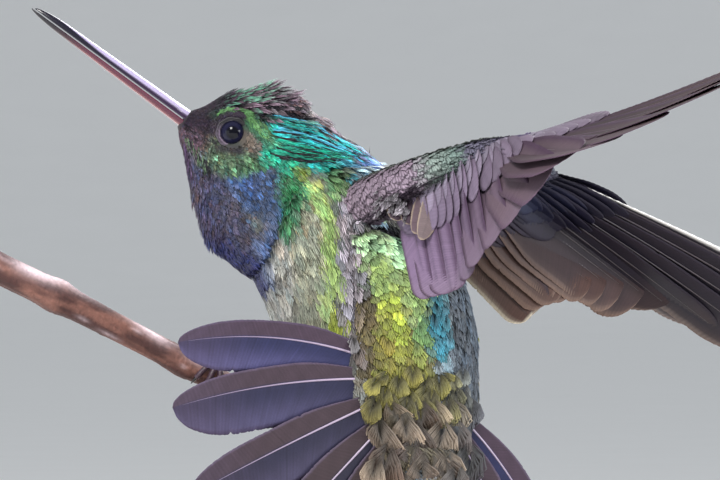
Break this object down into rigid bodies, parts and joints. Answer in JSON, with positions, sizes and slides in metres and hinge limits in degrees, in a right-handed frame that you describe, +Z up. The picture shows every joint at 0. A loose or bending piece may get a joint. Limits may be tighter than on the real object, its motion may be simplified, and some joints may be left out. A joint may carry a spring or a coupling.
{
  "type": "hummingbird model on a stand",
  "caption": "Life-size still model of a male hummingbird gripping a twig, wings thrown up behind its back and tail fanned, held on a round wooden base by a short rod.",
  "frame": {"origin": "on the floor, under the middle of the whole model's box", "axes": "+Z up; the bird's head is in profile towards -X and its bill points to -X and up; its left side faces -Y and its back faces +X and -Y; the wings are raised towards +X"},
  "size_m": [0.0978, 0.0774, 0.0748],
  "materials": {
    "bill_dark": "glossy black horn of the upper half of the bill",
    "bill_red": "coral red horn, dark towards the tip",
    "eye": "wet black eye",
    "head_feathers": "iridescent green and turquoise feathers, dark brown crown",
    "throat_feathers": "slate throat with violet-blue gloss",
    "back_feathers": "iridescent yellow-green scale-like feathers",
    "rump_feathers": "bronze feathers with buff fringes",
    "tail_feathers": "slate feathers with pale shafts",
    "wing_feathers": "thin mauve-grey and dark brown flight feathers",
    "leg_down": "white down on the thighs, dark shank",
    "foot_scales": "dark scaled toes with horny claws",
    "bark": "thin red-brown bark with pale weathered streaks",
    "stand_metal": "satin brass",
    "stand_wood": "turned hardwood, satin varnish"
  },
  "bodies": {
    "root": {"bill_upper": "bill_dark", "bill_lower": "bill_red", "eye_left": "eye", "eye_right": "eye", "head": "head_feathers", "neck": "throat_feathers", "torso": "back_feathers", "rump": "rump_feathers", "vent": "rump_feathers", "tail": "tail_feathers", "wing_left_arm": "wing_feathers", "wing_left_hand": "wing_feathers", "wing_right_arm": "wing_feathers", "wing_right_hand": "wing_feathers", "leg_left": "leg_down", "leg_right": "leg_down", "foot_left": "foot_scales", "foot_right": "foot_scales", "perch_twig": "bark", "stand_rod": "stand_metal", "stand_collar": "stand_metal", "stand_base": "stand_wood"}
  },
  "joints": []
}
